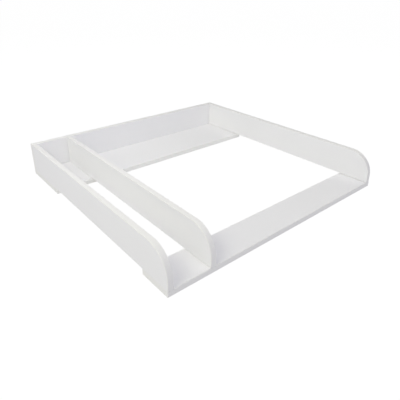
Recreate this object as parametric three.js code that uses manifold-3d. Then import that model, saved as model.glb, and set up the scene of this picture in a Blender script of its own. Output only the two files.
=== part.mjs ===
// Changing frame with a side tray, made to sit over the top of an 800 mm wide dresser.
// Units are millimetres, +Z is up, the front is at -Y and the origin is the centre of the footprint.
//
// Two base boards run across the full width, one at the front and one at the rear. The dresser top
// fills the space between them, level with their upper faces. Two side panels and a divider stand on
// the base boards and bridge that space, and a back panel closes the rear.
//
// Each joint has countersunk connector screws and glued dowels. The screws are driven from underneath
// and from behind, so no hardware shows on the outer sides or inside the compartments.

import * as THREE from 'three';
import { mergeVertices } from 'three/addons/utils/BufferGeometryUtils.js';
import Module from 'manifold-3d';

const wasm = await Module();
wasm.setup();

// ---- Driving dimensions ----
const WIDTH = 800;
const DEPTH = 780;
const HEIGHT = 110;
const BOARD = 16;
const FRONT_BOARD_DEPTH = 98;
const REAR_BOARD_DEPTH = 195;
const TRAY_WIDTH = 104;
const CORNER_RADIUS = 70;
const EASED_EDGE = 2;

const SCREW_DIAMETER = 7;
const SCREW_LENGTH = 50;
const SCREW_HEAD_DIAMETER = 10;
const SCREW_HEAD_RIM = 0.6;
const SCREW_HEAD_RECESS = 1;
const SCREW_TIP_DIAMETER = 4;
const SCREW_TIP_LENGTH = 4;
const SOCKET_WIDTH = 4;
const SOCKET_DEPTH = 3;

const DOWEL_DIAMETER = 8;
const DOWEL_LENGTH = 30;
const DOWEL_CHAMFER = 1;
const DOWEL_IN_BOARD = 10;

const FIT_GAP = 0.3;
const FRONT_SCREW_INSET = 20;
const REAR_SCREW_FRONT_INSET = 25;
const REAR_SCREW_BACK_INSET = 70;
const END_SCREW_INSET = 22;
const BACK_SCREW_END_INSET = 60;
const BACK_SCREW_COUNT = 4;

const ARC_STEPS = 24;
const EASE_STEPS = 4;
const ROUND_SIDES = 20;

// ---- Places that follow from the driving dimensions ----
const LEFT = -WIDTH / 2;
const RIGHT = WIDTH / 2;
const FRONT = -DEPTH / 2;
const REAR = DEPTH / 2;
const BACK_FACE = REAR - BOARD;
const FRONT_BOARD_REAR = FRONT + FRONT_BOARD_DEPTH;
const REAR_BOARD_FRONT = REAR - REAR_BOARD_DEPTH;

const UPRIGHT_CENTRES = {
  left: LEFT + BOARD / 2,
  divider: LEFT + BOARD + TRAY_WIDTH + BOARD / 2,
  right: RIGHT - BOARD / 2,
};
const UPRIGHT_NAMES = {
  left: 'left_side_panel',
  divider: 'divider_panel',
  right: 'right_side_panel',
};

// ---- Looks ----
const whiteLacquer = { color: 0xf1f1ef, roughness: 0.42, metalness: 0 };
const zincSteel = { color: 0xb4b7ba, roughness: 0.35, metalness: 0.9 };
const beech = { color: 0xd8b988, roughness: 0.7, metalness: 0 };

// ---- Solids: closed three.js geometries, joined and cut as manifolds ----
function toSolid(geometry) {
  const bare = geometry.clone();
  bare.deleteAttribute('normal');
  bare.deleteAttribute('uv');
  const welded = mergeVertices(bare);
  return new wasm.Manifold(new wasm.Mesh({
    numProp: 3,
    vertProperties: new Float32Array(welded.attributes.position.array),
    triVerts: new Uint32Array(welded.index.array),
  }));
}

function toGeometry(solid) {
  const mesh = solid.getMesh();
  const geometry = new THREE.BufferGeometry();
  geometry.setAttribute('position', new THREE.BufferAttribute(mesh.vertProperties, 3));
  geometry.setIndex(new THREE.BufferAttribute(mesh.triVerts, 1));
  geometry.computeVertexNormals();
  return geometry;
}

function boxSolid(box) {
  const size = box.getSize(new THREE.Vector3());
  const centre = box.getCenter(new THREE.Vector3());
  const geometry = new THREE.BoxGeometry(size.x, size.y, size.z);
  geometry.translate(centre.x, centre.y, centre.z);
  return toSolid(geometry);
}

// ---- Boards ----
// The outline of a board: a rectangle whose corner at low u and high v may be rounded.
function boardOutline(low, high, radius) {
  const shape = new THREE.Shape();
  shape.moveTo(low.x, low.y);
  shape.lineTo(high.x, low.y);
  shape.lineTo(high.x, high.y);
  shape.lineTo(low.x + radius, high.y);
  if (radius > 0) {
    shape.absarc(low.x + radius, high.y - radius, radius, Math.PI / 2, Math.PI, false);
  }
  shape.closePath();
  return shape;
}

// A board with eased edges all round, except on its square sides, where it meets another board or is
// cut off flush. There the outline first runs past the board and is then trimmed back.
function board({ min, max, thin, squareLow, squareHigh, cornerRadius = 0 }) {
  const axes = ['x', 'y', 'z'];
  const thinIndex = axes.indexOf(thin);
  const u = axes[(thinIndex + 1) % 3];
  const v = axes[(thinIndex + 2) % 3];

  const low = new THREE.Vector3(...min);
  const high = new THREE.Vector3(...max);
  const past = EASED_EDGE * 2;
  const outlineLow = low.clone().addScaledVector(new THREE.Vector3(...squareLow), -past);
  const outlineHigh = high.clone().addScaledVector(new THREE.Vector3(...squareHigh), past);
  const outline = boardOutline(
    new THREE.Vector2(outlineLow[u], outlineLow[v]),
    new THREE.Vector2(outlineHigh[u], outlineHigh[v]),
    cornerRadius,
  );
  const thickness = high[thin] - low[thin];
  const geometry = new THREE.ExtrudeGeometry(outline, {
    depth: thickness - 2 * EASED_EDGE,
    bevelThickness: EASED_EDGE,
    bevelSize: EASED_EDGE,
    bevelOffset: -EASED_EDGE,
    bevelSegments: EASE_STEPS,
    curveSegments: ARC_STEPS,
  });
  geometry.translate(0, 0, low[thin] + EASED_EDGE);

  const unit = { x: [1, 0, 0], y: [0, 1, 0], z: [0, 0, 1] };
  const turn = new THREE.Matrix4().makeBasis(
    new THREE.Vector3(...unit[u]),
    new THREE.Vector3(...unit[v]),
    new THREE.Vector3(...unit[thin]),
  );
  geometry.applyMatrix4(turn);

  const everySide = new THREE.Vector3(1, 1, 1);
  const clearLow = everySide.clone().sub(new THREE.Vector3(...squareLow));
  const clearHigh = everySide.clone().sub(new THREE.Vector3(...squareHigh));
  const trim = new THREE.Box3(
    low.clone().addScaledVector(clearLow, -past),
    high.clone().addScaledVector(clearHigh, past),
  );
  return toSolid(geometry).intersect(boxSolid(trim));
}

function baseBoard(front, rear) {
  return board({
    min: [LEFT, front, 0],
    max: [RIGHT, rear, BOARD],
    thin: 'z',
    squareLow: [1, 0, 0],
    squareHigh: [1, 0, 0],
  });
}

// Stands on the base boards, with a rounded corner at the front of its top edge.
function upright(centre) {
  return board({
    min: [centre - BOARD / 2, FRONT, BOARD],
    max: [centre + BOARD / 2, BACK_FACE, HEIGHT],
    thin: 'x',
    squareLow: [0, 0, 1],
    squareHigh: [0, 1, 0],
    cornerRadius: CORNER_RADIUS,
  });
}

// Stands on the rear base board and covers the rear ends of the uprights.
function backPanel() {
  return board({
    min: [LEFT, BACK_FACE, BOARD],
    max: [RIGHT, REAR, HEIGHT],
    thin: 'y',
    squareLow: [1, 0, 1],
    squareHigh: [1, 0, 0],
  });
}

// ---- Fasteners: turned pieces along local +Y, from the face they are driven into ----
function turned(points) {
  return new THREE.LatheGeometry(points.map(([r, y]) => new THREE.Vector2(r, y)), ROUND_SIDES);
}

// A countersunk screw body, or with a clearance the stepped hole that takes it.
function screwBody(start, clearance) {
  const headRadius = SCREW_HEAD_DIAMETER / 2 + clearance;
  const shankRadius = SCREW_DIAMETER / 2 + clearance;
  const tipRadius = SCREW_TIP_DIAMETER / 2 + clearance;
  const head = SCREW_HEAD_RECESS;
  const rimEnd = head + SCREW_HEAD_RIM;
  const shankStart = rimEnd + headRadius - shankRadius;
  const tip = head + SCREW_LENGTH;
  return turned([
    [0, start],
    [headRadius, start],
    [headRadius, rimEnd],
    [shankRadius, shankStart],
    [shankRadius, tip - SCREW_TIP_LENGTH],
    [tipRadius, tip + clearance],
    [0, tip + clearance],
  ]);
}

function screw() {
  const socketRadius = SOCKET_WIDTH / Math.sqrt(3);
  const socket = new THREE.CylinderGeometry(socketRadius, socketRadius, 2 * SOCKET_DEPTH, 6);
  socket.translate(0, SCREW_HEAD_RECESS, 0);
  return toGeometry(toSolid(screwBody(SCREW_HEAD_RECESS, 0)).subtract(toSolid(socket)));
}

// A dowel centred on the joint, or with a clearance the blind hole that takes it.
function dowelBody(clearance) {
  const radius = DOWEL_DIAMETER / 2 + clearance;
  const start = BOARD - DOWEL_IN_BOARD - clearance;
  const end = BOARD - DOWEL_IN_BOARD + DOWEL_LENGTH + clearance;
  return turned([
    [0, start],
    [radius - DOWEL_CHAMFER, start],
    [radius, start + DOWEL_CHAMFER],
    [radius, end - DOWEL_CHAMFER],
    [radius - DOWEL_CHAMFER, end],
    [0, end],
  ]);
}

const FASTENERS = {
  screw: { piece: screw, hole: () => screwBody(-SCREW_HEAD_RECESS, FIT_GAP), look: zincSteel },
  dowel: { piece: () => toGeometry(toSolid(dowelBody(0))), hole: () => dowelBody(FIT_GAP), look: beech },
};

// The two ways in: up through a base board, and forward through the back panel.
const UP = Math.PI / 2;
const FORWARD = Math.PI;

function placed(geometryOrMesh, spot) {
  geometryOrMesh.rotation.x = spot.turn;
  geometryOrMesh.position.set(spot.x, spot.y, spot.z);
  geometryOrMesh.updateMatrix();
  return geometryOrMesh;
}

function between(low, high, fraction) {
  return low + (high - low) * fraction;
}

// ---- Where the fasteners go ----
const spots = [];

function fromBelow(name, kind, x, y, boards) {
  spots.push({ name, kind, x, y, z: 0, turn: UP, boards });
}

function fromBehind(name, kind, x, z, boards) {
  spots.push({ name, kind, x, y: REAR, z, turn: FORWARD, boards });
}

for (const [side, x] of Object.entries(UPRIGHT_CENTRES)) {
  const panel = UPRIGHT_NAMES[side];

  const frontRows = [FRONT + FRONT_SCREW_INSET, FRONT_BOARD_REAR - FRONT_SCREW_INSET];
  frontRows.forEach((y, i) => {
    fromBelow(`front_${side}_screw_${i + 1}`, 'screw', x, y, ['front_base_board', panel]);
  });
  fromBelow(`front_${side}_dowel`, 'dowel', x, between(...frontRows, 0.5), ['front_base_board', panel]);

  const rearRows = [REAR_BOARD_FRONT + REAR_SCREW_FRONT_INSET, REAR - REAR_SCREW_BACK_INSET];
  rearRows.forEach((y, i) => {
    fromBelow(`rear_${side}_screw_${i + 1}`, 'screw', x, y, ['rear_base_board', panel]);
  });
  fromBelow(`rear_${side}_dowel`, 'dowel', x, between(...rearRows, 0.5), ['rear_base_board', panel]);

  const endRows = [BOARD + END_SCREW_INSET, HEIGHT - END_SCREW_INSET];
  endRows.forEach((z, i) => {
    fromBehind(`back_${side}_screw_${i + 1}`, 'screw', x, z, ['back_panel', panel]);
  });
  fromBehind(`back_${side}_dowel`, 'dowel', x, between(...endRows, 0.5), ['back_panel', panel]);
}

const backRow = { from: LEFT + BACK_SCREW_END_INSET, to: RIGHT - BACK_SCREW_END_INSET, y: REAR - BOARD / 2 };
const backSpans = BACK_SCREW_COUNT - 1;
for (let i = 0; i <= backSpans; i += 1) {
  const x = between(backRow.from, backRow.to, i / backSpans);
  fromBelow(`back_base_screw_${i + 1}`, 'screw', x, backRow.y, ['rear_base_board', 'back_panel']);
}
for (let i = 0; i < backSpans; i += 1) {
  const x = between(backRow.from, backRow.to, (i + 0.5) / backSpans);
  fromBelow(`back_base_dowel_${i + 1}`, 'dowel', x, backRow.y, ['rear_base_board', 'back_panel']);
}

// ---- Assembly ----
const boards = {
  front_base_board: baseBoard(FRONT, FRONT_BOARD_REAR),
  rear_base_board: baseBoard(REAR_BOARD_FRONT, REAR),
  back_panel: backPanel(),
};
for (const [side, x] of Object.entries(UPRIGHT_CENTRES)) {
  boards[UPRIGHT_NAMES[side]] = upright(x);
}

const changingFrame = new THREE.Group();

function addPiece(name, geometry, look) {
  const mesh = new THREE.Mesh(geometry, new THREE.MeshStandardMaterial(look));
  mesh.name = name;
  changingFrame.add(mesh);
  return mesh;
}

for (const spot of spots) {
  const { piece, hole, look } = FASTENERS[spot.kind];
  const fastener = placed(addPiece(spot.name, piece(), look), spot);
  const drill = toSolid(hole().applyMatrix4(fastener.matrix));
  for (const name of spot.boards) {
    boards[name] = boards[name].subtract(drill);
  }
}

for (const [name, solid] of Object.entries(boards)) {
  addPiece(name, toGeometry(solid), whiteLacquer);
}

export default changingFrame;
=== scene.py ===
"""Looks for the changing top frame: lacquered fibreboard panels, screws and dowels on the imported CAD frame.

Lengths are in metres, in the CAD row frame: the front is at -Y, +Z is up, and the origin is the footprint's
centre.
"""

import math

import bmesh
import bpy
from mathutils import Matrix, Vector


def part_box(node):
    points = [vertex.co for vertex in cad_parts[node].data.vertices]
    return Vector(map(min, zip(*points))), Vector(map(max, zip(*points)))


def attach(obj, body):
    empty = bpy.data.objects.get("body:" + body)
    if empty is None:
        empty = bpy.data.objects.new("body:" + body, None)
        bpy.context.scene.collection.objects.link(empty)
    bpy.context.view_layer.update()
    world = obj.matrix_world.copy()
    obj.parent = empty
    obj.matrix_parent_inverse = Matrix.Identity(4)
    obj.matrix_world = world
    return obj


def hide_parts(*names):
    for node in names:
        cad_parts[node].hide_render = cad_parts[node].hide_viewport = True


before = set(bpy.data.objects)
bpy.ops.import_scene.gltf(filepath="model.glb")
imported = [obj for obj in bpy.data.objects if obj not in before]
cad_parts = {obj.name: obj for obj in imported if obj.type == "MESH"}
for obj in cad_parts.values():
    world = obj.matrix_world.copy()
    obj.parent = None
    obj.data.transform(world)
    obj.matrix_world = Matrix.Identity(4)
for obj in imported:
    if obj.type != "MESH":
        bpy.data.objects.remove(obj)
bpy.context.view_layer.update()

MM = 0.001
BODY = "root"
X, Y, Z = 0, 1, 2
LOW, HIGH = 0, 1

# ---- Boards ----
CORNER_RADIUS = 70 * MM
EASED_EDGE = 2 * MM
SEAM_EDGE = 0.15 * MM
JOINT_GAP = 0.35 * MM
OPEN_JOINT_GAP = 0.8 * MM
SAME_PLANE = 0.025 * MM
ARC_STEPS = 40
EASE_STEPS = 5
EASED_ABOVE_DEGREES = 30
BOARD_SHARP_DEGREES = 40
BROAD_FACE_COSINE = 0.99

# ---- Fasteners ----
HOLE_CLEARANCE = 0.3 * MM
HOLE_OVERRUN = 3 * MM
HOLE_STEPS = 48
SCREW_RADIUS = 3.5 * MM
SCREW_ROOT_RADIUS = 2.5 * MM
SCREW_TIP_RADIUS = 1.7 * MM
SCREW_TIP_LENGTH = 4 * MM
SCREW_HEAD_RADIUS = 5 * MM
SCREW_HEAD_RIM = 0.6 * MM
SCREW_SHANK_END = 13 * MM
SCREW_STEPS = 36
SCREW_SHARP_DEGREES = 30
THREAD_PITCH = 3 * MM
THREAD_ROWS_PER_TURN = 10
THREAD_HALF_WIDTH_IN_PITCHES = 0.32
THREAD_CREST_GAIN = 1.25
THREAD_FADE_FRACTION = 1 / 8
SOCKET_APOTHEM = 2 * MM
SOCKET_DEPTH = 3 * MM
FINE_CHAMFER = 0.25 * MM
DOWEL_RADIUS = 4 * MM
DOWEL_CHAMFER = 1 * MM
DOWEL_FLUTES = 18
DOWEL_FLUTE_DEPTH = 0.25 * MM
DOWEL_STEPS = 72
DOWEL_SHARP_DEGREES = 35


# ---- Materials ----
class Nodes:
    """The nodes of one tree. add() makes a node and links or sets its inputs."""

    def __init__(self, tree):
        self.tree = tree

    def put(self, socket, value):
        if isinstance(value, bpy.types.NodeSocket):
            self.tree.links.new(value, socket)
        else:
            socket.default_value = value

    def add(self, kind, output, inputs, **settings):
        node = self.tree.nodes.new(kind)
        for key, value in settings.items():
            setattr(node, key, value)
        for key, value in inputs.items():
            self.put(node.inputs[key], value)
        return node.outputs[output]

    def place(self):
        return self.add("ShaderNodeTexCoord", "Object", {})

    def noise(self, vector, scale, detail=2.0, roughness=0.5):
        inputs = {"Vector": vector, "Scale": scale, "Detail": detail, "Roughness": roughness}
        return self.add("ShaderNodeTexNoise", "Fac", inputs)

    def ramp(self, factor, stops):
        """A colour ramp through (position, rgb) stops."""
        node = self.tree.nodes.new("ShaderNodeValToRGB")
        elements = node.color_ramp.elements
        while len(elements) < len(stops):
            elements.new(1.0)
        for element, (position, rgb) in zip(elements, stops):
            element.position = position
            element.color = (*rgb, 1)
        self.put(node.inputs["Fac"], factor)
        return node.outputs["Color"]

    def remap(self, value, low, high):
        return self.add("ShaderNodeMapRange", "Result", {"Value": value, "To Min": low, "To Max": high})

    def mix(self, factor, first, second, blend="MIX"):
        node = self.tree.nodes.new("ShaderNodeMix")
        node.data_type = "RGBA"
        node.blend_type = blend
        colours = [socket for socket in node.inputs if socket.type == "RGBA"]
        self.put(node.inputs["Factor"], factor)
        self.put(colours[0], first)
        self.put(colours[1], second)
        return next(socket for socket in node.outputs if socket.type == "RGBA")

    def bump(self, height, strength, distance, normal=None):
        inputs = {"Height": height, "Strength": strength, "Distance": distance}
        if normal is not None:
            inputs["Normal"] = normal
        return self.add("ShaderNodeBump", "Normal", inputs)


class Surface(Nodes):
    def __init__(self, name):
        self.material = bpy.data.materials.new(name)
        self.material.use_nodes = True
        super().__init__(self.material.node_tree)
        self.shader = self.tree.nodes["Principled BSDF"]

    def finish(self, **inputs):
        for key, value in inputs.items():
            self.put(self.shader.inputs[key.replace("_", " ")], value)
        return self.material


def white_lacquer():
    """Satin white lacquer: faint orange peel and slow drifts of sheen. Narrow edges are a little duller, and
    their darker, warmer colour is painted shade and painted warm light."""
    nodes = Surface("white_lacquer")
    place = nodes.place()
    edge = nodes.add("ShaderNodeAttribute", "Fac", {}, attribute_name="narrow_edge")
    drift = nodes.noise(place, scale=5.0, detail=3.0)
    face = nodes.ramp(drift, [(0.3, (0.932, 0.932, 0.926)), (0.7, (0.95, 0.95, 0.945))])
    fleck = nodes.noise(place, scale=420.0, roughness=0.6)
    flecks = nodes.ramp(fleck, [(0.28, (0.96, 0.96, 0.96)), (0.4, (1.0, 1.0, 1.0))])
    body = nodes.mix(1.0, face, flecks, "MULTIPLY")
    # Painted shade and painted warm light: narrow edges get a darker, warmer colour than the broad faces.
    colour = nodes.mix(edge, body, (0.928, 0.927, 0.894, 1))
    smear = nodes.remap(nodes.noise(place, scale=14.0, detail=5.0, roughness=0.6), 0.33, 0.43)
    dull = nodes.add("ShaderNodeMath", "Value", {0: edge, 1: 0.05}, operation="MULTIPLY")
    sheen = nodes.add("ShaderNodeMath", "Value", {0: smear, 1: dull}, operation="ADD")
    wave = nodes.noise(place, scale=22.0, detail=1.0)
    waves = nodes.bump(wave, strength=0.25, distance=0.12 * MM)
    peel = nodes.noise(place, scale=300.0, detail=3.0, roughness=0.55)
    skin = nodes.bump(peel, strength=0.35, distance=0.06 * MM, normal=waves)
    return nodes.finish(Base_Color=colour, Roughness=sheen, Normal=skin, IOR=1.5)


def raw_fibreboard():
    """The bare board inside drilled holes: tan wood fibre, rough and speckled."""
    nodes = Surface("raw_fibreboard")
    fibre = nodes.noise(nodes.place(), scale=900.0, detail=6.0, roughness=0.7)
    colour = nodes.ramp(fibre, [(0.3, (0.23, 0.15, 0.085)), (0.7, (0.46, 0.34, 0.21))])
    rough = nodes.remap(fibre, 0.85, 0.97)
    fluff = nodes.bump(fibre, strength=0.6, distance=0.2 * MM)
    return nodes.finish(Base_Color=colour, Roughness=rough, Normal=fluff)


def zinc_steel():
    """Bright zinc plate over steel, with turning marks and a faint passivation tint."""
    nodes = Surface("zinc_steel")
    place = nodes.place()
    cloud = nodes.noise(place, scale=260.0, detail=4.0, roughness=0.6)
    colour = nodes.ramp(cloud, [(0.3, (0.56, 0.58, 0.6)), (0.7, (0.74, 0.74, 0.71))])
    inputs = {"Vector": place, "Scale": 900.0, "Distortion": 1.5}
    turning = nodes.add("ShaderNodeTexWave", "Fac", inputs, bands_direction="Y")
    marks = nodes.bump(turning, strength=0.2, distance=0.03 * MM)
    rough = nodes.remap(cloud, 0.22, 0.42)
    return nodes.finish(Base_Color=colour, Roughness=rough, Normal=marks, Metallic=1.0)


def beech():
    """Raw beech with its grain along the dowel."""
    nodes = Surface("beech")
    along = nodes.add("ShaderNodeMapping", "Vector", {"Vector": nodes.place(), "Scale": (1.0, 0.12, 1.0)})
    grain = nodes.noise(along, scale=900.0, detail=5.0, roughness=0.6)
    stops = [(0.35, (0.5, 0.3, 0.15)), (0.5, (0.68, 0.47, 0.27)), (0.7, (0.76, 0.57, 0.36))]
    colour = nodes.ramp(grain, stops)
    rough = nodes.remap(grain, 0.8, 0.65)
    pores = nodes.bump(grain, strength=0.4, distance=0.1 * MM)
    return nodes.finish(Base_Color=colour, Roughness=rough, Normal=pores)


# ---- Round pieces, lofted along local +Y ----
def loft(name, rings, steps):
    """A closed mesh through rings of (radius, height), where a radius may be a function of the angle. The
    first and last rings are points on the axis, given by their height alone."""
    mesh = bmesh.new()
    first = mesh.verts.new((0, rings[0], 0))
    last = mesh.verts.new((0, rings[-1], 0))
    loops = []
    for radius, height in rings[1:-1]:
        loop = []
        for step in range(steps):
            angle = math.tau * step / steps
            r = radius(angle) if callable(radius) else radius
            loop.append(mesh.verts.new((r * math.cos(angle), height, r * math.sin(angle))))
        loops.append(loop)
    for step in range(steps):
        after = (step + 1) % steps
        mesh.faces.new((first, loops[0][step], loops[0][after]))
        mesh.faces.new((last, loops[-1][after], loops[-1][step]))
        for lower, upper in zip(loops, loops[1:]):
            mesh.faces.new((lower[step], upper[step], upper[after], lower[after]))
    bmesh.ops.recalc_face_normals(mesh, faces=mesh.faces)
    data = bpy.data.meshes.new(name)
    mesh.to_mesh(data)
    mesh.free()
    return data


def shade(data, sharp_degrees):
    """Smooth shading that stays crisp where faces meet at more than the angle."""
    data.polygons.foreach_set("use_smooth", [True] * len(data.polygons))
    data.set_sharp_from_angle(angle=math.radians(sharp_degrees))
    data.update()


def hexagon(apothem):
    return lambda angle: apothem / math.cos(angle % (math.tau / 6) - math.tau / 12)


def thread(height, fade):
    """The radius of a coarse, flat-crested thread at one height. It fades out towards the tip."""
    depth = (SCREW_RADIUS - SCREW_ROOT_RADIUS) * fade

    def radius(angle):
        phase = (height / THREAD_PITCH - angle / math.tau) % 1
        ridge = max(0.0, 1 - abs(phase - 0.5) / THREAD_HALF_WIDTH_IN_PITCHES)
        return SCREW_ROOT_RADIUS + depth * min(1.0, THREAD_CREST_GAIN * ridge)

    return radius


def screw_mesh(length):
    """A countersunk connector screw: hex socket, rim, cone, plain shank, thread and pilot tip."""
    rings = [
        SOCKET_DEPTH + 2 * FINE_CHAMFER,
        (hexagon(SOCKET_APOTHEM), SOCKET_DEPTH),
        (hexagon(SOCKET_APOTHEM), FINE_CHAMFER),
        (hexagon(SOCKET_APOTHEM + FINE_CHAMFER), 0),
        (SCREW_HEAD_RADIUS - FINE_CHAMFER, 0),
        (SCREW_HEAD_RADIUS, FINE_CHAMFER),
        (SCREW_HEAD_RADIUS, SCREW_HEAD_RIM),
        (SCREW_RADIUS, SCREW_HEAD_RIM + SCREW_HEAD_RADIUS - SCREW_RADIUS),
        (SCREW_RADIUS, SCREW_SHANK_END),
    ]
    thread_length = length - SCREW_TIP_LENGTH - SCREW_SHANK_END
    rows = round(thread_length / THREAD_PITCH * THREAD_ROWS_PER_TURN)
    for row in range(1, rows):
        height = SCREW_SHANK_END + thread_length * row / rows
        fade = min(1.0, (1 - row / rows) / THREAD_FADE_FRACTION)
        rings.append((thread(height, fade), height))
    rings += [
        (SCREW_ROOT_RADIUS, length - SCREW_TIP_LENGTH),
        (SCREW_ROOT_RADIUS, length - SCREW_TIP_LENGTH / 3),
        (SCREW_TIP_RADIUS, length),
        length,
    ]
    data = loft("connector_screw", rings, SCREW_STEPS)
    shade(data, SCREW_SHARP_DEGREES)
    return data


def dowel_mesh(length):
    """A fluted dowel with chamfered ends."""
    flute = DOWEL_STEPS // DOWEL_FLUTES

    def fluted(radius):
        def at(angle):
            step = round(angle / math.tau * DOWEL_STEPS)
            return radius - (DOWEL_FLUTE_DEPTH if step % flute == 0 else 0)
        return at

    rings = [
        0,
        (DOWEL_RADIUS - DOWEL_CHAMFER, 0),
        (fluted(DOWEL_RADIUS), DOWEL_CHAMFER),
        (fluted(DOWEL_RADIUS), length / 2),
        (fluted(DOWEL_RADIUS), length - DOWEL_CHAMFER),
        (DOWEL_RADIUS - DOWEL_CHAMFER, length),
        length,
    ]
    data = loft("fluted_dowel", rings, DOWEL_STEPS)
    shade(data, DOWEL_SHARP_DEGREES)
    return data


def screw_hole_rings(length):
    """The countersunk hole for a screw. It starts outside the board, before the recessed head."""
    head = SCREW_HEAD_RADIUS + HOLE_CLEARANCE
    shank = SCREW_RADIUS + HOLE_CLEARANCE
    return [
        -HOLE_OVERRUN,
        (head, -HOLE_OVERRUN),
        (head, SCREW_HEAD_RIM),
        (shank, SCREW_HEAD_RIM + head - shank),
        (shank, length + HOLE_CLEARANCE),
        length + HOLE_CLEARANCE,
    ]


def dowel_hole_rings(length):
    radius = DOWEL_RADIUS + HOLE_CLEARANCE
    start = -HOLE_CLEARANCE
    end = length + HOLE_CLEARANCE
    return [start, (radius, start), (radius, end), end]


# ---- Fasteners, placed where the frame has them ----
FASTENERS = {
    "screw": {"mesh": screw_mesh, "hole": screw_hole_rings, "slot": "zinc_steel"},
    "dowel": {"mesh": dowel_mesh, "hole": dowel_hole_rings, "slot": "beech"},
}
fastener_nodes = {
    name: kind for name in sorted(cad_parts) for kind in FASTENERS if f"_{kind}" in name
}


def axis_placement(node):
    """The length of a fastener and its matrix: its local +Y runs from its outer end into the frame."""
    low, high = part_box(node)
    middle = (low + high) / 2
    size = high - low
    if size.z > size.y:
        return size.z, Matrix.Translation((middle.x, middle.y, low.z)) @ Matrix.Rotation(math.pi / 2, 4, "X")
    return size.y, Matrix.Translation((middle.x, high.y, middle.z)) @ Matrix.Rotation(math.pi, 4, "X")


def add_object(name, data, materials):
    for material in materials:
        data.materials.append(material)
    made = bpy.data.objects.new(name, data)
    bpy.context.scene.collection.objects.link(made)
    return made


def add_fasteners(materials):
    shared = {}
    for node, kind in fastener_nodes.items():
        length, matrix = axis_placement(node)
        if kind not in shared:
            shared[kind] = FASTENERS[kind]["mesh"](length)
            shared[kind].materials.append(materials[FASTENERS[kind]["slot"]])
        piece = add_object(f"{node}_detailed", shared[kind], [])
        piece.matrix_world = matrix
        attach(piece, BODY)
        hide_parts(node)


# ---- Boards ----
def overlaps(first, second):
    a_low, a_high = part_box(first)
    b_low, b_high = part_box(second)
    return all(a_low[i] < b_high[i] and b_low[i] < a_high[i] for i in range(3))


def drill_for(node):
    """One mesh of every hole that the fasteners need in a board."""
    holes = bmesh.new()
    for fastener, kind in fastener_nodes.items():
        if overlaps(node, fastener):
            length, matrix = axis_placement(fastener)
            hole = loft("hole", FASTENERS[kind]["hole"](length), HOLE_STEPS)
            hole.transform(matrix)
            holes.from_mesh(hole)
            bpy.data.meshes.remove(hole)
    for face in holes.faces:
        face.material_index = 1
    data = bpy.data.meshes.new(f"{node}_holes")
    holes.to_mesh(data)
    holes.free()
    return data


def outline(low, high, radius):
    """A rectangle whose corner at low u and high v may be rounded."""
    points = [(low[0], low[1]), (high[0], low[1]), (high[0], high[1])]
    if radius == 0:
        return [*points, (low[0], high[1])]
    centre = (low[0] + radius, high[1] - radius)
    for step in range(ARC_STEPS + 1):
        angle = math.pi / 2 * (1 + step / ARC_STEPS)
        points.append((centre[0] + radius * math.cos(angle), centre[1] + radius * math.sin(angle)))
    return points


def slab(node, thin, square, joints, radius):
    """A board's blank, cut back at its joints, with a bevel weight on each edge: full where the edge is
    eased, and slight on a square side."""
    low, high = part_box(node)
    for (axis, side), gap in joints.items():
        (low, high)[side][axis] += gap if side == LOW else -gap
    u, v = (thin + 1) % 3, (thin + 2) % 3
    points = outline((low[u], low[v]), (high[u], high[v]), radius)
    mesh = bmesh.new()
    weight = mesh.edges.layers.float.new("bevel_weight_edge")

    def layer(depth):
        made = []
        for point in points:
            place = [0, 0, 0]
            place[u], place[v], place[thin] = point[0], point[1], depth
            made.append(mesh.verts.new(place))
        return made

    near, far = layer(low[thin]), layer(high[thin])
    mesh.faces.new(reversed(near))
    mesh.faces.new(far)
    for i, here in enumerate(near):
        after = (i + 1) % len(near)
        mesh.faces.new((here, near[after], far[after], far[i]))
    mesh.normal_update()

    def on_square_side(edge):
        for axis, side in square:
            plane = (low, high)[side][axis]
            if all(abs(vert.co[axis] - plane) < SAME_PLANE for vert in edge.verts):
                return True
        return False

    for edge in mesh.edges:
        if edge.calc_face_angle() > math.radians(EASED_ABOVE_DEGREES):
            edge[weight] = SEAM_EDGE / EASED_EDGE if on_square_side(edge) else 1.0
    data = bpy.data.meshes.new(f"{node}_lacquered")
    mesh.to_mesh(data)
    mesh.free()
    return data


def board(node, thin, square, joints, materials, radius=0):
    """A drilled board with eased edges that replaces its CAD node. Its joints are the square sides that
    stand a hair off the boards they meet, each with its gap."""
    piece = add_object(f"{node}_lacquered", slab(node, thin, square, joints, radius), materials)
    drill = add_object(f"{node}_holes", drill_for(node), materials)
    ease = piece.modifiers.new("ease", "BEVEL")
    ease.limit_method = "WEIGHT"
    ease.width = EASED_EDGE
    ease.segments = EASE_STEPS
    cut = piece.modifiers.new("holes", "BOOLEAN")
    cut.operation = "DIFFERENCE"
    cut.solver = "EXACT"
    cut.material_mode = "INDEX"
    cut.object = drill
    bpy.context.view_layer.update()
    finished = bpy.data.meshes.new_from_object(piece.evaluated_get(bpy.context.evaluated_depsgraph_get()))
    piece.modifiers.clear()
    piece.data = finished
    bpy.data.objects.remove(drill)

    # Marks the narrow faces, where the lacquer's colour carries painted shade and painted warm light.
    narrow = finished.attributes.new("narrow_edge", "FLOAT", "FACE")
    broad = [abs(face.normal[thin]) > BROAD_FACE_COSINE for face in finished.polygons]
    narrow.data.foreach_set("value", [0.0 if is_broad else 1.0 for is_broad in broad])
    shade(finished, BOARD_SHARP_DEGREES)
    even = piece.modifiers.new("even_normals", "WEIGHTED_NORMAL")
    even.keep_sharp = True
    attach(piece, BODY)
    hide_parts(node)


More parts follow.
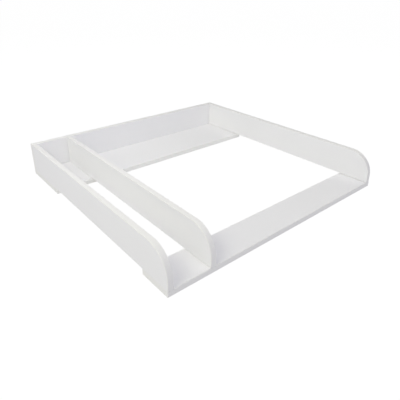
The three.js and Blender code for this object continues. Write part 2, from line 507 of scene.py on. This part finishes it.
def add_boards(materials):
    skin = [materials["white_lacquer"], materials["raw_fibreboard"]]
    for node in ("front_base_board", "rear_base_board"):
        board(node, Z, [(X, LOW), (X, HIGH)], {}, skin)
    foot, rear = (Z, LOW), (Y, HIGH)
    feet = {
        "left_side_panel": JOINT_GAP,
        "divider_panel": JOINT_GAP,
        "right_side_panel": OPEN_JOINT_GAP,
    }
    for node, gap in feet.items():
        board(node, X, [foot, rear], {foot: gap, rear: JOINT_GAP}, skin, CORNER_RADIUS)
    board("back_panel", Y, [foot, (X, LOW), (X, HIGH)], {foot: JOINT_GAP}, skin)


# ---- Studio ----
BACKDROP_FLAT = 6.0
BACKDROP_CURVE = 3.0
BACKDROP_HEIGHT = 8.0
BACKDROP_CURVE_STEPS = 16
BACKDROP_STEPS = 64
BACKDROP_WHITENESS = 0.04
BACKDROP_GLOW = 0.985
CARD_INSET = 15 * MM
CARD_DEPTH = 1 * MM
CARD_WHITENESS = 0.65
TRAY_CARD_GLOW = 0.255
MAIN_CARD_GLOW = 0.2
FLOOR_GAP = 0.05 * MM


def add_stage(name, data, whiteness, glow):
    """A matt grey stage object with an even white glow, a hair below the frame."""
    nodes = Surface(name)
    nodes.finish(
        Base_Color=(whiteness, whiteness, whiteness, 1),
        Roughness=1.0,
        Specular_IOR_Level=0.0,
        Emission_Color=(1, 1, 1, 1),
        Emission_Strength=glow,
    )
    made = add_object(name, data, [nodes.material])
    made.location.z = -FLOOR_GAP
    return made


def add_backdrop():
    """A pale round floor that sweeps up into a wall. It is the camera's background only: it neither lights
    nor shadows the frame."""
    profile = [(BACKDROP_FLAT, 0.0)]
    for step in range(1, BACKDROP_CURVE_STEPS + 1):
        angle = math.pi / 2 * step / BACKDROP_CURVE_STEPS
        reach = BACKDROP_FLAT + BACKDROP_CURVE * math.sin(angle)
        profile.append((reach, BACKDROP_CURVE * (1 - math.cos(angle))))
    profile.append((BACKDROP_FLAT + BACKDROP_CURVE, BACKDROP_HEIGHT))
    mesh = bmesh.new()
    loops = []
    for reach, height in profile:
        loop = []
        for step in range(BACKDROP_STEPS):
            angle = math.tau * step / BACKDROP_STEPS
            loop.append(mesh.verts.new((reach * math.cos(angle), reach * math.sin(angle), height)))
        loops.append(loop)
    mesh.faces.new(loops[0])
    for lower, upper in zip(loops, loops[1:]):
        for step in range(BACKDROP_STEPS):
            after = (step + 1) % BACKDROP_STEPS
            mesh.faces.new((lower[step], lower[after], upper[after], upper[step]))
    data = bpy.data.meshes.new("studio_floor")
    mesh.to_mesh(data)
    mesh.free()
    backdrop = add_stage("studio_floor", data, BACKDROP_WHITENESS, BACKDROP_GLOW)
    backdrop.visible_diffuse = False
    backdrop.visible_glossy = False
    backdrop.visible_shadow = False


def add_bounce_card(name, left, right, glow):
    """A white card under the frame that lights the inner faces from below. The camera sees past it."""
    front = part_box("front_base_board")[0].y + CARD_INSET
    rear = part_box("rear_base_board")[1].y - CARD_INSET
    corners = [(left, front, 0), (right, front, 0), (right, rear, 0), (left, rear, 0)]
    data = bpy.data.meshes.new(name)
    data.from_pydata(corners, [], [(0, 1, 2, 3)])
    card = add_stage(name, data, CARD_WHITENESS, glow)
    card.location.z = -CARD_DEPTH
    card.visible_camera = False


def add_bounce_cards():
    """One card under the tray and one under the changing area."""
    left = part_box("left_side_panel")[0].x + CARD_INSET
    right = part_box("right_side_panel")[1].x - CARD_INSET
    divider_low, divider_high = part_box("divider_panel")
    middle = (divider_low.x + divider_high.x) / 2
    add_bounce_card("tray_card", left, middle, TRAY_CARD_GLOW)
    add_bounce_card("main_card", middle, right, MAIN_CARD_GLOW)


CAMERA_PLACE = Vector((-0.7699, -0.9273, 0.6047))
CAMERA_AZIMUTH = math.radians(39.36)
CAMERA_DIP = math.radians(23.99)
CAMERA_SENSOR = 36
CAMERA_LENS = 36.108
CAMERA_SHIFT = (0.0145, -0.0983)


def add_camera():
    data = bpy.data.cameras.new("camera")
    data.sensor_width = CAMERA_SENSOR
    data.lens = CAMERA_LENS
    data.shift_x, data.shift_y = CAMERA_SHIFT
    camera = bpy.data.objects.new("camera", data)
    camera.location = CAMERA_PLACE
    camera.rotation_euler = (math.pi / 2 - CAMERA_DIP, 0, -CAMERA_AZIMUTH)
    bpy.context.scene.collection.objects.link(camera)
    bpy.context.scene.camera = camera


WHITE = (1.0, 1.0, 1.0)
COOL = (0.88, 0.86, 1.0)
WARM = (1.0, 1.0, 0.85)

# Each softbox: its place, the point that it faces, its width and height, its colour and its power.
SOFTBOXES = {
    "front": ((0, -1.7, 2.7), (0, 0, 0), (2.6, 2.0), COOL, 21.5),
    "left": ((-2.6, -0.2, 1.85), (0, 0, 0), (2.4, 2.0), WARM, 16.5),
    "left_high": ((-1.5, 0.15, 2.85), (0, 0, 0), (2.6, 2.4), WHITE, 9),
    "key": ((-2.15, -0.75, 2.25), (0, 0, 0), (1.2, 1.2), WARM, 14),
    "back": ((0.4, 2.35, 2.15), (0, 0, 0), (2.6, 2.0), WHITE, 10.5),
    "right": ((2.7, 0, 1.7), (0, 0, 0), (2.2, 1.8), WARM, 8),
    "over_tray": ((-0.34, -0.25, 0.85), (-0.31, 0.25, 0.05), (0.4, 0.4), WHITE, 0.45),
    "over_tray_rear": ((-0.42, 0.15, 0.6), (-0.29, 0.35, 0.03), (0.25, 0.25), COOL, 0.34),
    "over_right": ((0.38, 0, 0.9), (0, 0.1, 0.05), (0.4, 0.6), WHITE, 0.48),
}

# The light of the studio's walls by the sine of the elevation, from low to straight up.
WALL_LIGHT = [
    (-0.5, (0.75, 0.75, 0.75)),
    (-0.15, (0.6, 0.58, 0.68)),
    (0.0, (0.63, 0.63, 0.63)),
    (0.2, (0.23, 0.23, 0.34)),
    (0.5, (0.44, 0.44, 0.44)),
    (1.0, (0.0, 0.0, 0.0)),
]


def add_softboxes():
    for name, (place, target, size, colour, power) in SOFTBOXES.items():
        light = bpy.data.lights.new(name, "AREA")
        light.shape = "RECTANGLE"
        light.size, light.size_y = size
        light.color = colour
        light.energy = power
        made = bpy.data.objects.new(name, light)
        made.location = place
        made.rotation_euler = (Vector(place) - Vector(target)).to_track_quat("Z", "Y").to_euler()
        made.visible_camera = False
        bpy.context.scene.collection.objects.link(made)


def add_world():
    """Soft light from all around, the way a pale studio's walls and floor throw it back."""
    world = bpy.data.worlds.new("studio")
    world.use_nodes = True
    nodes = Nodes(world.node_tree)
    direction = nodes.add("ShaderNodeTexCoord", "Generated", {})
    up = nodes.add("ShaderNodeVectorMath", "Value", {0: direction, 1: (0, 0, 1)}, operation="DOT_PRODUCT")
    height = nodes.add("ShaderNodeMapRange", "Result", {"Value": up, "From Min": -1.0, "From Max": 1.0})
    light = nodes.ramp(height, [((level + 1) / 2, colour) for level, colour in WALL_LIGHT])
    nodes.put(world.node_tree.nodes["Background"].inputs["Color"], light)
    bpy.context.scene.world = world


materials = {
    "white_lacquer": white_lacquer(),
    "raw_fibreboard": raw_fibreboard(),
    "zinc_steel": zinc_steel(),
    "beech": beech(),
}
add_boards(materials)
add_fasteners(materials)
add_backdrop()
add_bounce_cards()
add_camera()
add_softboxes()
add_world()
bpy.context.scene.view_settings.view_transform = "Standard"
